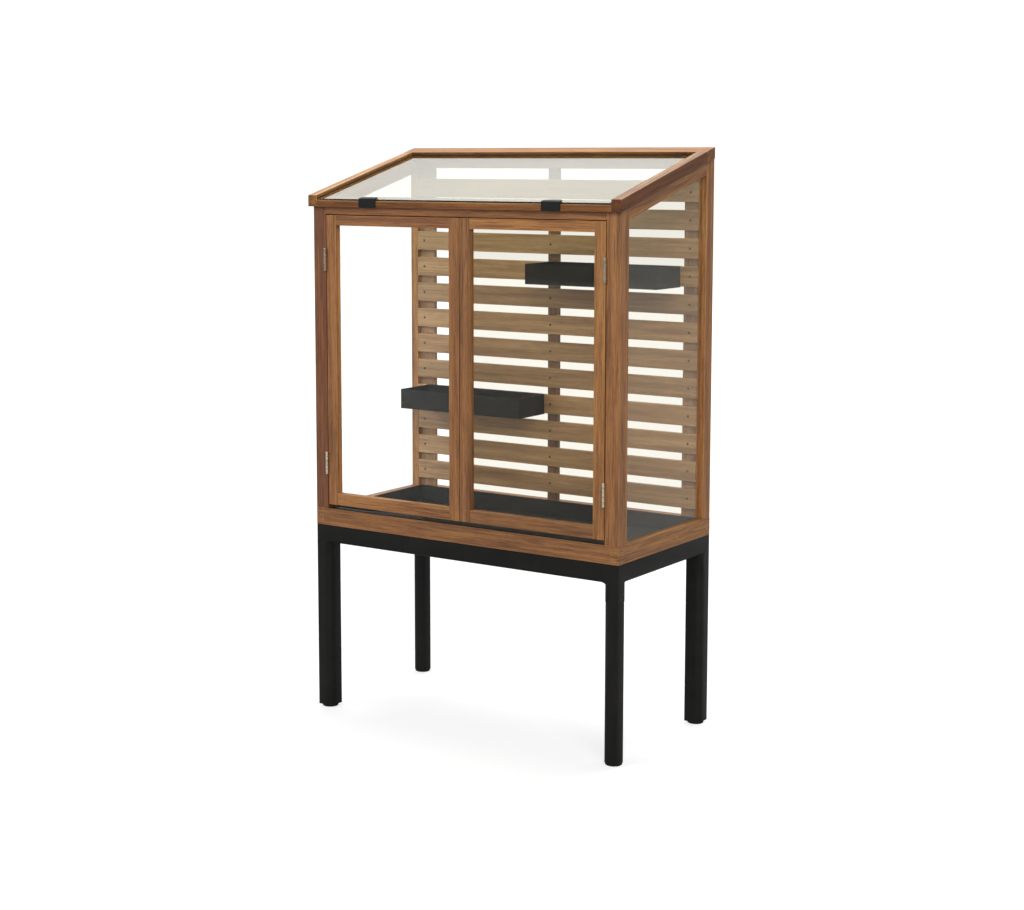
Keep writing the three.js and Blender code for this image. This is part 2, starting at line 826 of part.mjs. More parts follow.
function lidFrame() {
  const sideSection = [
    plumb(lidFront, lidUnder),
    plumb(panelBack, lidUnder),
    plumb(panelBack, lidTop),
    plumb(lidFront, lidTop),
  ];
  const backSection = [
    square(lidBackRailFront, lidUnder),
    plumb(panelBack, lidUnder),
    plumb(panelBack, lidTop),
    square(lidBackRailFront, lidTop),
  ];
  const groove = [
    plumb(lidFront - overrun, paneUnder - glassClearance),
    square(lidGrooveBack, paneUnder - glassClearance),
    square(lidGrooveBack, paneTop + glassClearance),
    plumb(lidFront - overrun, paneTop + glassClearance),
  ];
  const grooveReach = lidInside + grooveDepth;
  return cutBy(
    joined(
      toSolid(extruded(sideSection, 'x', [-lidReach, -lidInside])),
      toSolid(extruded(sideSection, 'x', [lidInside, lidReach])),
      toSolid(extruded(backSection, 'x', [-lidReach, lidReach])),
    ),
    toSolid(extruded(groove, 'x', [-grooveReach, grooveReach])),
  );
}

lid.add(named('lid_frame', lidFrame(), teak));

const lidFrontRailTop = paneUnder - glassClearance;
const lidFrontRailBack = lidFront + lidFrontRailWidth * Math.cos(slope);
const lidFrontRail = board('x', [
  plumb(lidFront, lidUnder),
  square(lidFrontRailBack, lidUnder),
  square(lidFrontRailBack, lidFrontRailTop),
  plumb(lidFront, lidFrontRailTop),
], [-lidInside, lidInside]);
lid.add(named('lid_front_rail', toSolid(lidFrontRail), teak));

// Lid pane: slid up the grooves from the front, where the clips hold it
const lidPaneReach = lidInside + grooveDepth - glassClearance;
const lidPaneFront = lidFront + lidPaneSetback + paneTop * Math.sin(slope);
const lidPaneBack = lidGrooveBack - glassClearance;
const lidPane = extruded([
  square(lidPaneFront, paneUnder),
  square(lidPaneBack, paneUnder),
  square(lidPaneBack, paneTop),
  square(lidPaneFront, paneTop),
], 'x', [-lidPaneReach, lidPaneReach]);
lid.add(named('lid_pane', toSolid(lidPane), clearGlass));

// Pane clips: a plate on the front rail, bent back over the edge of the glass
const clipFront = lidFront - clipSheet;
const clipTop = paneTop + fitClearance + clipSheet;
const clipSection = [
  plumb(clipFront, lidUnder),
  plumb(lidFront, lidUnder),
  plumb(lidFront, clipTop - clipSheet),
  plumb(lidFront + clipHook, clipTop - clipSheet),
  plumb(lidFront + clipHook, clipTop),
  plumb(clipFront, clipTop),
];
const clip = toSolid(extruded(clipSection, 'x', [-clipWidth / 2, clipWidth / 2]));
for (const [name, side] of [['left', -1], ['right', 1]]) {
  const piece = named(`pane_clip_${name}`, clip, clipBlack);
  piece.position.x = side * (lidInside - clipInset);
  lid.add(piece);
}

// Lid hinge: its pin lies along X, just behind the back faces of lid and back rail. In the
// leaf's own frame X points to the back and Y up.
const stripLength = 2 * (backPostInside - stripEndInset);
const stripStandoff = stripKnuckleRadius + fitClearance;
const hingeAxisY = panelBack + stripStandoff;
const hingeAxisZ = topPlane(panelBack) + fitClearance / 2;

function lidHingeLeaf(up, holdsPin) {
  const faces = [-stripStandoff, -stripStandoff + stripLeafThickness];
  const start = stripKnuckleRadius + fitClearance;
  const upright = (a, b) => [up * a, up * b].sort((p, q) => p - q);
  return hingeLeaf({
    length: stripLength,
    knuckles: stripKnuckles,
    radius: stripKnuckleRadius,
    pinRadius: stripPinRadius,
    holdsPin,
    plate: [faces, upright(start, start + stripLeafHeight)],
    tab: [faces, upright(0, start + fitClearance)],
  });
}

for (const [name, up, holder] of [['rail', -1, cabinet], ['lid', 1, lid]]) {
  const leaf = named(`lid_hinge_${name}_leaf`, lidHingeLeaf(up, up < 0), brass);
  leaf.rotation.set(Math.PI / 2, Math.PI / 2, 0);
  leaf.position.set(-stripLength / 2, hingeAxisY, hingeAxisZ);
  holder.add(leaf);
}
cabinet.add(lid);

// The outline runs from the clips at the front to the backs of the posts, and the origin is
// under its middle
const outlineFront = clipFront;
const outlineBack = halfDepth;
cabinet.position.y = -(outlineFront + outlineBack) / 2;

const greenhouse = new THREE.Group();
greenhouse.add(cabinet);
greenhouse.updateMatrixWorld(true);

export default greenhouse;
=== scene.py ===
import math
import random

import bmesh
import bpy
from mathutils import Matrix, Vector


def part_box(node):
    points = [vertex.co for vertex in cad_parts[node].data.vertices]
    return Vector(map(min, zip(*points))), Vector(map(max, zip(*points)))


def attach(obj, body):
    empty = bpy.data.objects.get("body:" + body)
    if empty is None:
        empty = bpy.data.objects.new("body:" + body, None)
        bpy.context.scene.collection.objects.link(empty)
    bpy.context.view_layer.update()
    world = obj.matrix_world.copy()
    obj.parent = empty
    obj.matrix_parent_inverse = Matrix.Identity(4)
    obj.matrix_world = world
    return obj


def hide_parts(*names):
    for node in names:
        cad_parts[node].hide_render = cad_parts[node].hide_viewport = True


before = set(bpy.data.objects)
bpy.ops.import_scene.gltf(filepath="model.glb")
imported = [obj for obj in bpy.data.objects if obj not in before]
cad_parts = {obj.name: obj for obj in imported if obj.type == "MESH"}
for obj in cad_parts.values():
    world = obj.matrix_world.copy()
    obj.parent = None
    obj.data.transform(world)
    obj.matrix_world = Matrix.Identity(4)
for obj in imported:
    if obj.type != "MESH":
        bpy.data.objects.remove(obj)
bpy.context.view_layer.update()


# Stand frame: a ring of black powder-coated aluminium rails, open along the inside, that
# turns down at each corner into a socket with a spigot. It is welded and coated as one
# piece, so it is shown as one.
coat_black = (0.0054, 0.0050, 0.0047, 1)
coat_worn = (0.0088, 0.0083, 0.0077, 1)
coat_roughness = 0.46
coat_unevenness = 0.05
cloud_scale = 16
cloud_start = 0.35
cloud_end = 0.7
peel_scale = 900
peel_strength = 0.4
weld_distance = 1e-6
flat_degrees = 0.5
stand_smooth_degrees = 32


def new_material(name):
    material = bpy.data.materials.new(name)
    material.use_nodes = True
    tree = material.node_tree
    tree.nodes.clear()
    shader = tree.nodes.new("ShaderNodeBsdfPrincipled")
    output = tree.nodes.new("ShaderNodeOutputMaterial")
    tree.links.new(shader.outputs["BSDF"], output.inputs["Surface"])
    return material, tree, shader


def add_node(tree, kind, sockets=None, **settings):
    """A node with its settings, and each named socket either linked or given a value."""
    made = tree.nodes.new(kind)
    for setting, value in settings.items():
        setattr(made, setting, value)
    for socket, value in (sockets or {}).items():
        if isinstance(value, bpy.types.NodeSocket):
            tree.links.new(value, made.inputs[socket])
        else:
            made.inputs[socket].default_value = value
    return made


def colour_ramp(tree, factor, stops):
    """Colours along a factor, each stop being its place and its colour."""
    ramp = add_node(tree, "ShaderNodeValToRGB", {"Fac": factor})
    elements = ramp.color_ramp.elements
    while len(elements) < len(stops):
        elements.new(1)
    for element, (place, colour) in zip(elements, stops):
        element.position = place
        element.color = colour
    return ramp.outputs["Color"]


def spread(tree, value, low, high, start=0.0, end=1.0):
    """A value's range from start to end, moved to the range from low to high."""
    return add_node(tree, "ShaderNodeMapRange", {
        "Value": value, "From Min": start, "From Max": end, "To Min": low, "To Max": high,
    }).outputs["Result"]


def noise(tree, place, scale, detail, roughness=0.5):
    return add_node(tree, "ShaderNodeTexNoise", {
        "Vector": place, "Scale": scale, "Detail": detail, "Roughness": roughness,
    }).outputs["Fac"]


def surface(tree, shader, colour, roughness, height, strength, distance):
    """Gives a shader its colour, its roughness and the fine relief of its surface."""
    relief = add_node(tree, "ShaderNodeBump", {
        "Height": height, "Strength": strength, "Distance": distance,
    })
    tree.links.new(colour, shader.inputs["Base Color"])
    tree.links.new(roughness, shader.inputs["Roughness"])
    tree.links.new(relief.outputs["Normal"], shader.inputs["Normal"])


def powder_coat(name, dark, pale, roughness, sheen=0.15, peel_height=0.00002):
    """Coated metal: nearly even in colour, with the fine orange peel of the coating."""
    material, tree, shader = new_material(name)
    place = add_node(tree, "ShaderNodeTexCoord").outputs["Object"]
    cloud = noise(tree, place, cloud_scale, 4)
    peel = noise(tree, place, peel_scale, 2)
    shade = colour_ramp(tree, cloud, [(cloud_start, dark), (cloud_end, pale)])
    gloss = spread(tree, peel, roughness - coat_unevenness, roughness + coat_unevenness)
    shader.inputs["Specular IOR Level"].default_value = sheen
    surface(tree, shader, shade, gloss, peel, peel_strength, peel_height)
    return material


def put_in_place(bm, name, body, slot, material, *nodes):
    """Closes a bmesh into a piece that rides on its body and stands for its CAD nodes."""
    mesh = bpy.data.meshes.new(name)
    bm.to_mesh(mesh)
    bm.free()
    mesh.materials.append(material)
    piece = bpy.data.objects.new(name, mesh)
    bpy.context.scene.collection.objects.link(piece)
    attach(piece, body)
    if nodes:
        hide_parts(*nodes)
    return piece


def smooth_but_for(piece, degrees):
    """Smooth shading, apart from the edges that turn by more than this angle."""
    mesh = piece.data
    mesh.shade_smooth()
    mesh.set_sharp_from_angle(angle=math.radians(degrees))


stand_coat = powder_coat("stand_black_coat", coat_black, coat_worn, coat_roughness)
stand = bmesh.new()
stand.from_mesh(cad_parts["stand_frame"].data)
bmesh.ops.remove_doubles(stand, verts=stand.verts, dist=weld_distance)
bmesh.ops.dissolve_limit(
    stand, angle_limit=math.radians(flat_degrees), verts=stand.verts, edges=stand.edges
)
stand_piece = put_in_place(
    stand, "stand_ring", "cabinet", "stand_black", stand_coat, "stand_frame"
)
smooth_but_for(stand_piece, stand_smooth_degrees)


# Legs: hollow extrusions of black aluminium that slide up over the spigots of the frame.
# Two opposite long edges are sharp and two are nearly fully round: a leaf section.
corners = {
    "front_left": (-1, -1),
    "front_right": (1, -1),
    "back_left": (-1, 1),
    "back_right": (1, 1),
}
leg_wall = 0.003
leg_sharp_radius = 0.0015
leg_soft_radius = 0.020
leg_soft_segments = 14
leg_sharp_segments = 3
leg_smooth_degrees = 30
facing = 0.9
parallel = 0.999
up = Vector((0, 0, 1))


def add_box(bm, low, high):
    """Adds a box to a piece, from its lowest corner to its highest."""
    low, high = Vector(low), Vector(high)
    made = bmesh.ops.create_cube(bm, size=1)["verts"]
    bmesh.ops.scale(bm, vec=high - low, verts=made)
    bmesh.ops.translate(bm, vec=(low + high) / 2, verts=made)


def box_between(low, high):
    bm = bmesh.new()
    add_box(bm, low, high)
    return bm


def rounded(bm, edges, radius, segments):
    """Rounds edges over and gives back the faces that do it."""
    made = bmesh.ops.bevel(
        bm, geom=edges, offset=radius, offset_type="OFFSET", segments=segments,
        profile=0.5, affect="EDGES", material=-1, clamp_overlap=True,
    )
    return made["faces"]


def runs_along(edge, direction):
    line = edge.verts[1].co - edge.verts[0].co
    return line.length > 0 and abs(line.normalized().dot(direction)) > parallel


def is_square_to(face, direction):
    return abs(face.normal.dot(direction)) > facing


for corner, (side_x, side_y) in corners.items():
    low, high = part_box(f"leg_{corner}")
    leg = box_between(low, high)
    middle = (low + high) / 2
    ends = [face for face in leg.faces if is_square_to(face, up)]
    bmesh.ops.delete(leg, geom=ends, context="FACES_ONLY")
    long_edges = [edge for edge in leg.edges if runs_along(edge, up)]
    sharp_edges, soft_edges = [], []
    for edge in long_edges:
        out = edge.verts[0].co - middle
        same_way = out.x * out.y * side_x * side_y > 0
        (sharp_edges if same_way else soft_edges).append(edge)
    rounded(leg, soft_edges, leg_soft_radius, leg_soft_segments)
    sharp_edges = [edge for edge in sharp_edges if edge.is_valid]
    rounded(leg, sharp_edges, leg_sharp_radius, leg_sharp_segments)
    bmesh.ops.solidify(leg, geom=leg.faces[:], thickness=leg_wall)
    piece = put_in_place(
        leg, f"leg_tube_{corner}", "cabinet", "stand_black", stand_coat, f"leg_{corner}"
    )
    smooth_but_for(piece, leg_smooth_degrees)


# Feet: round black plastic glides. Each is a disc with a plug that presses into the leg,
# moulded in one, with a rounded rim where it meets the floor.
foot_height = 0.006
foot_plug_inset = 0.0032
foot_rim_radius = 0.0025
foot_rim_segments = 4
foot_segments = 64
foot_smooth_degrees = 40
near = 1e-5
plastic_dark = (0.0045, 0.0045, 0.0046, 1)
plastic_pale = (0.0085, 0.0085, 0.0086, 1)
foot_roughness = 0.6
plastic_sheen = 0.2
plastic_unevenness = 0.08
plastic_cloud_scale = 60
grit_scale = 2200
grit_strength = 0.4
grit_height = 0.00004


def moulded_plastic(name, dark, pale, roughness):
    """Moulded plastic with a fine spark-eroded texture."""
    material, tree, shader = new_material(name)
    place = add_node(tree, "ShaderNodeTexCoord").outputs["Object"]
    cloud = noise(tree, place, plastic_cloud_scale, 3)
    grit = noise(tree, place, grit_scale, 3)
    shade = colour_ramp(tree, cloud, [(cloud_start, dark), (cloud_end, pale)])
    gloss = spread(
        tree, grit, roughness - plastic_unevenness, roughness + plastic_unevenness
    )
    shader.inputs["Specular IOR Level"].default_value = plastic_sheen
    surface(tree, shader, shade, gloss, grit, grit_strength, grit_height)
    return material


foot_finish = moulded_plastic(
    "foot_black_plastic", plastic_dark, plastic_pale, foot_roughness
)
for corner in corners:
    low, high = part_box(f"foot_{corner}")
    middle = (low + high) / 2
    foot = bmesh.new()
    radius = (high.x - low.x) / 2
    bmesh.ops.create_cone(
        foot, cap_ends=True, segments=foot_segments, radius1=radius, radius2=radius,
        depth=foot_height,
    )
    centre = Vector((middle.x, middle.y, low.z + foot_height / 2))
    bmesh.ops.translate(foot, vec=centre, verts=foot.verts)
    disc_top = max(foot.faces, key=lambda face: face.calc_center_median().z)
    rim = [
        edge for edge in foot.edges
        if max(vert.co.z for vert in edge.verts) < low.z + near
    ]
    bmesh.ops.inset_region(foot, faces=[disc_top], thickness=foot_plug_inset)
    raised = bmesh.ops.extrude_face_region(foot, geom=[disc_top])
    plug_top = [part for part in raised["geom"] if isinstance(part, bmesh.types.BMVert)]
    bmesh.ops.translate(foot, vec=(0, 0, high.z - low.z - foot_height), verts=plug_top)
    bmesh.ops.delete(foot, geom=[disc_top], context="FACES_ONLY")
    rounded(foot, rim, foot_rim_radius, foot_rim_segments)
    bmesh.ops.recalc_face_normals(foot, faces=foot.faces)
    piece = put_in_place(
        foot, f"glide_{corner}", "cabinet", "foot_plastic", foot_finish, f"foot_{corner}"
    )
    smooth_but_for(piece, foot_smooth_degrees)


# Base: four oiled hardwood boards on the frame, finger jointed at the corners.
# The front and back boards have the lowest finger. The grain goes right through all the
# wood of the greenhouse: rings about a heart, with fibres and pores along each board.
finger_count = 6
base_ease = 0.0006
ease_segments = 2
# The last shade goes on the eased edges: partly rubbed wear, partly painted highlight.
oiled_shades = {
    "dark": (0.090, 0.031, 0.0080, 1),
    "middle": (0.265, 0.111, 0.0300, 1),
    "pale": (0.405, 0.200, 0.0630, 1),
    "worn_and_highlit": (0.470, 0.255, 0.0950, 1),
}
# Each stain multiplies the colours of the wood. The palest and bluest of them is no stain
# but painted sheen, for the top faces of the lid.
stains = {
    "painted_sheen": (1.55, 1.85, 2.25),
    "golden": (1.05, 1.00, 0.80),
    "plain": (1.0, 0.92, 0.82),
    "brown": (0.80, 0.69, 0.61),
    "red": (0.62, 0.46, 0.40),
}
base_looks = {
    "front": ("plain", 0.82),
    "back": ("plain", 0.95),
    "left": ("plain", 0.9),
    "right": ("golden", 0.92),
}
slope = math.radians(15)
quarter_turn = math.radians(90)
wood_turns = {
    "x": (0, 0, 0),
    "y": (0, 0, -quarter_turn),
    "z": (0, quarter_turn, 0),
    "slope": (-slope, 0, -quarter_turn),
}
shade_places = (0.28, 0.5, 0.74)
grain_stretch = (0.035, 1, 1)
ring_pattern = {
    "Scale": 62,
    "Distortion": 9,
    "Detail": 3,
    "Detail Scale": 22,
    "Detail Roughness": 0.55,
}
band_scale = 72
streak_scale = 340
fibre_scale = 620
pore_scale = 850
fibre_strength = 0.35
fibre_height = 0.0003
rubbed_highlight_start = 0.35
rubbed_highlight_end = 0.7
rubbed_highlight_most = 0.7
heart_nearest = 0.03
heart_furthest = 0.11
chance = random.Random(11)


def laid_over(tree, amount, under, over, blend="MIX"):
    """A colour with another one laid over it, by an amount from 0 to 1."""
    return add_node(
        tree, "ShaderNodeMix", {0: amount, 6: under, 7: over}, data_type="RGBA",
        blend_type=blend,
    ).outputs[2]


def wood(name, turn, shades, contrast=0.75, sheen=0.5, smooth=0.40, rough=0.60):
    """Solid wood whose grain runs along X once the piece's place is turned by turn."""
    material, tree, shader = new_material(name)
    dark, middle, pale, worn_and_highlit = shades.values()
    place = add_node(tree, "ShaderNodeTexCoord").outputs["Object"]
    heart = add_node(tree, "ShaderNodeAttribute", attribute_name="heart")
    eased = add_node(tree, "ShaderNodeAttribute", attribute_name="eased")
    tone = add_node(tree, "ShaderNodeAttribute", attribute_name="tone")
    from_heart = add_node(
        tree, "ShaderNodeVectorMath", {0: place, 1: heart.outputs["Vector"]},
        operation="SUBTRACT",
    )
    turned = add_node(tree, "ShaderNodeMapping", {
        "Vector": from_heart.outputs["Vector"], "Rotation": turn,
    })
    grain = add_node(
        tree, "ShaderNodeVectorMath", {0: turned.outputs["Vector"], 1: grain_stretch},
        operation="MULTIPLY",
    ).outputs["Vector"]
    rings = add_node(
        tree, "ShaderNodeTexWave", {"Vector": grain, **ring_pattern},
        wave_type="RINGS", rings_direction="X", wave_profile="SAW",
    ).outputs["Fac"]
    bands = noise(tree, grain, band_scale, 5, 0.6)
    streaks = noise(tree, grain, streak_scale, 3, 0.6)
    fibres = noise(tree, grain, fibre_scale, 4, 0.7)
    pores = noise(tree, grain, pore_scale, 2)
    colour = colour_ramp(tree, bands, list(zip(shade_places, (dark, middle, pale))))
    # Each layer: its pattern, how far it covers at the start and at the end of a part of
    # the pattern's range, that part, and the colour it brings.
    layers = (
        (rings, 0.0, 0.36, 0.45, 1.0, dark),
        (streaks, 0.0, contrast, 0.54, 0.66, dark),
        (streaks, contrast * 0.6, 0.0, 0.34, 0.46, pale),
        (fibres, 0.0, 0.5, 0.52, 0.8, pale),
        (pores, 0.0, 0.65, 0.57, 0.68, dark),
    )
    for pattern, first, last, start, end, shade in layers:
        cover = spread(tree, pattern, first, last, start, end)
        colour = laid_over(tree, cover, colour, shade)
    # Eased edges turn paler in places: partly rubbed wear, partly a painted highlight
    # along the edges.
    wear_and_highlight = spread(tree, bands, 0.0, rubbed_highlight_most, rubbed_highlight_start, rubbed_highlight_end)
    rubbed_and_highlit = add_node(
        tree, "ShaderNodeMath", {0: eased.outputs["Fac"], 1: wear_and_highlight}, operation="MULTIPLY"
    ).outputs["Value"]
    colour = laid_over(tree, rubbed_and_highlit, colour, worn_and_highlit)
    colour = laid_over(tree, 1, colour, tone.outputs["Color"], "MULTIPLY")
    height = add_node(
        tree, "ShaderNodeMath", {0: fibres, 1: pores}, operation="SUBTRACT"
    ).outputs["Value"]
    gloss = spread(tree, fibres, smooth, rough)
    shader.inputs["Specular IOR Level"].default_value = sheen
    surface(tree, shader, colour, gloss, height, fibre_strength, fibre_height)
    return material


frame_wood = {
    way: wood(f"oiled_wood_along_{way}", turn, oiled_shades)
    for way, turn in wood_turns.items()
}


def sawn(outline, push):
    """A solid from an outline's points, pushed out by a vector."""
    bm = bmesh.new()
    face = bm.faces.new([bm.verts.new(point) for point in outline])
    pushed = bmesh.ops.extrude_face_region(bm, geom=[face])
    far = [part for part in pushed["geom"] if isinstance(part, bmesh.types.BMVert)]
    bmesh.ops.translate(bm, vec=push, verts=far)
    bmesh.ops.recalc_face_normals(bm, faces=bm.faces)
    return bm


def wooden(
    bm, name, body, way, ease, look, *nodes, slot="frame_wood", finishes=None, top=None
):
    """Eases a board's edges, gives it its own grain and stain, and puts it in place. Its
    top faces can take a tone of their own, which is painted sheen.
    """
    looks = [
        [tone * part for part in stains[stain]] for stain, tone in (look, top or look)
    ]
    eased = bm.faces.layers.float.new("eased")
    for face in rounded(bm, bm.edges[:], ease, ease_segments):
        face.smooth = True
        face[eased] = 1
    centre = sum((vert.co for vert in bm.verts), Vector()) / len(bm.verts)
    angle = chance.uniform(0, 2 * math.pi)
    reach = chance.uniform(heart_nearest, heart_furthest)
    turn = Matrix.Rotation(angle, 3, "X")
    across = turn @ Vector((0, reach, 0))
    if way == "z":
        across = Vector((across.y, across.z, 0))
    elif way in ("y", "slope"):
        across = Vector((across.y, 0, across.z))
    heart = centre + across
    piece = put_in_place(bm, name, body, slot, (finishes or frame_wood)[way], *nodes)
    count = len(piece.data.vertices)
    hearts = piece.data.attributes.new("heart", "FLOAT_VECTOR", "POINT")
    hearts.data.foreach_set("vector", list(heart) * count)
    tones = piece.data.attributes.new("tone", "FLOAT_VECTOR", "FACE")
    # Faces on top take the top tone where one is given: painted sheen.
    on_top = [face.normal.z > facing for face in piece.data.polygons]
    tone_parts = [part for is_top in on_top for part in looks[is_top]]
    tones.data.foreach_set("vector", tone_parts)
    return piece


def finger_steps(reach, depth, notched, bottom, height):
    """The stepped end of a board, from its bottom corner to its top corner."""
    steps = []
    for finger in range(finger_count):
        end = reach - depth if finger % 2 == notched else reach
        steps.append((end, bottom + finger * height))
        steps.append((end, bottom + (finger + 1) * height))
    return steps


for name, look in base_looks.items():
    low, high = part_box(f"base_board_{name}")
    size = high - low
    finger = size.z / finger_count
    along_x = name in ("front", "back")
    thickness = size.y if along_x else size.x
    span = size.x if along_x else size.y
    steps = finger_steps(span / 2, thickness, 1 if along_x else 0, low.z, finger)
    middle = (low + high) / 2
    if along_x:
        ends = [(middle.x + a, low.y, z) for a, z in steps]
        ends += [(middle.x - a, low.y, z) for a, z in reversed(steps)]
        push = (0, thickness, 0)
    else:
        ends = [(low.x, middle.y + a, z) for a, z in steps]
        ends += [(low.x, middle.y - a, z) for a, z in reversed(steps)]
        push = (thickness, 0, 0)
    wooden(
        sawn(ends, push), f"base_{name}", "cabinet", "x" if along_x else "y",
        base_ease, look, f"base_board_{name}",
    )


# Plant tray: one folded sheet of dark coated steel that stands on the frame inside the
# base. Its front wall is turned out into a lip over the front board.
tray_sheet = 0.0015
tray_front_wall = -0.19425
tray_rim = 0.5295
tray_lip_height = 0.5303
tray_lip_reach = 0.4155
tray_fold_radius = 0.0004
broken_segments = 2
broken_from_degrees = 40
tray_dark = (0.0100, 0.0102, 0.0094, 1)
tray_pale = (0.0150, 0.0152, 0.0140, 1)
tray_roughness = 0.60
tray_sheen = 0.16
tray_peel_height = 0.000006
tray_finish = powder_coat(
    "tray_charcoal_coat", tray_dark, tray_pale, tray_roughness, tray_sheen,
    tray_peel_height,
)


def fold(bm, edges, step):
    """Carries edges on by one fold of the sheet, and gives back the new edges."""
    grown = bmesh.ops.extrude_edge_only(bm, edges=edges)["geom"]
    moved = [part for part in grown if isinstance(part, bmesh.types.BMVert)]
    bmesh.ops.translate(bm, vec=step, verts=moved)
    return [
        part for part in grown
        if isinstance(part, bmesh.types.BMEdge)
        and all(vert in moved for vert in part.verts)
    ]


def open_tray(low, high, splits):
    """An open box, with its sheet split across X where a lip or a hook will start."""
    bm = box_between(low, high)
    top = max(bm.faces, key=lambda face: face.calc_center_median().z)
    bmesh.ops.delete(bm, geom=[top], context="FACES_ONLY")
    for x in splits:
        everything = bm.verts[:] + bm.edges[:] + bm.faces[:]
        bmesh.ops.bisect_plane(
            bm, geom=everything, plane_co=(x, 0, 0), plane_no=(1, 0, 0)
        )
    return bm


def rim_between(bm, y, z, start, end):
    """The edges that run along X at a given Y and Z, from start to end."""
    return [
        edge for edge in bm.edges
        if all(
            abs(vert.co.y - y) < near and abs(vert.co.z - z) < near
            and start - near < vert.co.x < end + near
            for vert in edge.verts
        )
    ]


def break_corners(piece, width):
    """Takes the sharpness off a piece's corners with a live bevel."""
    bevel = piece.modifiers.new("broken corners", "BEVEL")
    bevel.width = width
    bevel.segments = broken_segments
    bevel.limit_method = "ANGLE"
    bevel.angle_limit = math.radians(broken_from_degrees)
    bevel.harden_normals = False


def as_sheet(piece, thickness, fold_radius):
    """Gives folded faces the thickness of the sheet, and rounds its folds."""
    wall = piece.modifiers.new("sheet", "SOLIDIFY")
    wall.thickness = thickness
    wall.offset = -1
    wall.use_even_offset = True
    break_corners(piece, fold_radius)


low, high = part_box("plant_tray")
tray = open_tray(
    (low.x, tray_front_wall, low.z), (high.x, high.y, tray_rim),
    (-tray_lip_reach, tray_lip_reach),
)
lip = rim_between(tray, tray_front_wall, tray_rim, -tray_lip_reach, tray_lip_reach)
lip = fold(tray, lip, (0, 0, tray_lip_height - tray_rim))
fold(tray, lip, (0, low.y - tray_front_wall, 0))
bmesh.ops.recalc_face_normals(tray, faces=tray.faces)
tray_piece = put_in_place(
    tray, "plant_tray_sheet", "cabinet", "tray_metal", tray_finish, "plant_tray"
)
as_sheet(tray_piece, tray_sheet, tray_fold_radius)


# Posts: square hardwood posts at the front and posts of board at the back. They stand on
# the base, and their tops are sawn to the slope of the roof.
board_ease = 0.0013
# The roof plane goes through this point. All tops are sawn to it.
eaves = Vector((0, -0.21775, 1.3095))
roof_normal = Vector((0, -math.sin(slope), math.cos(slope)))
saw_allowance = Vector((0, 0, 0.02))
cut_distance = 1e-7
post_looks = {
    "front_left": ("red", 0.96),
    "front_right": ("plain", 0.94),
    "back_left": ("golden", 0.95),
    "back_right": ("plain", 1.0),
}


def saw_off(bm, point, normal):
    """Saws off what lies on the normal's side of a plane, and closes the cut."""
    everything = bm.verts[:] + bm.edges[:] + bm.faces[:]
    cut = bmesh.ops.bisect_plane(
        bm, geom=everything, dist=cut_distance, plane_co=point, plane_no=normal,
        clear_outer=True,
    )["geom_cut"]
    kerf = [part for part in cut if isinstance(part, bmesh.types.BMEdge)]
    bmesh.ops.edgeloop_fill(bm, edges=kerf)
    bmesh.ops.recalc_face_normals(bm, faces=bm.faces)


for corner, look in post_looks.items():
    low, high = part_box(f"post_{corner}")
    post = box_between(low, high + saw_allowance)
    saw_off(post, eaves, roof_normal)
    wooden(
        post, f"corner_post_{corner}", "cabinet", "z", board_ease, look,
        f"post_{corner}",
    )


# Sides: a sloping board between the posts on each side, and one sheet of float glass that
# stands in grooves in the base, the posts and that board. The glass on the right, of this
# side and of the right door, is tinted darker and warmer: painted shade over what lies
# behind it and over the lamp light that passes it.
side_rail_height = 0.032
side_pane_under_roof = 0.0245
glass_tint = (0.988, 0.994, 0.985, 1)
# Painted shade: the right panes are tinted darker and warmer so that what lies behind
# them looks shaded.
painted_shade_tint = (0.790, 0.765, 0.690, 1)
side_glass_index = 1.25
glass_edge_tint = (0.350, 0.620, 0.520, 1)
glass_arris = 0.0003
ripple_scale = 7
ripple_strength = 0.02
ripple_height = 0.0002
side_rail_look = ("plain", 0.9)


def pane_glass(name, tint, edge_tint, index):
    """Clear glass with greener edges. Rays from lamps pass straight through it."""
    material, tree, shader = new_material(name)
    place = add_node(tree, "ShaderNodeTexCoord").outputs["Object"]
    edge = add_node(tree, "ShaderNodeAttribute", attribute_name="edge").outputs["Fac"]
    colour = laid_over(tree, edge, tint, edge_tint)
    ripple = add_node(tree, "ShaderNodeBump", {
        "Height": noise(tree, place, ripple_scale, 2), "Strength": ripple_strength,
        "Distance": ripple_height,
    })
    shader.inputs["Transmission Weight"].default_value = 1
    shader.inputs["IOR"].default_value = index
    shader.inputs["Roughness"].default_value = 0.0
    tree.links.new(colour, shader.inputs["Base Color"])
    tree.links.new(ripple.outputs["Normal"], shader.inputs["Normal"])
    to_lamps = add_node(tree, "ShaderNodeBsdfTransparent", {"Color": tint})
    way = add_node(tree, "ShaderNodeLightPath")
    mixed = add_node(tree, "ShaderNodeMixShader", {
        0: way.outputs["Is Shadow Ray"],
        1: shader.outputs["BSDF"],
        2: to_lamps.outputs["BSDF"],
    })
    output = tree.nodes["Material Output"]
    tree.links.new(mixed.outputs["Shader"], output.inputs["Surface"])
    return material


pane_finishes = {
    "left": pane_glass("clear_glass", glass_tint, glass_edge_tint, side_glass_index),
    "right": pane_glass("shade_darkened_glass", painted_shade_tint, glass_edge_tint, side_glass_index),
}


def glazed(bm, name, body, slot, material, face_normal, *nodes):
    """Takes the arris off a pane, and marks its narrow faces as its edges."""
    edge = bm.faces.layers.float.new("edge")
    rounded(bm, bm.edges[:], glass_arris, 1)
    for face in bm.faces:
        face[edge] = 0.0 if is_square_to(face, face_normal) else 1.0
    return put_in_place(bm, name, body, slot, material, *nodes)


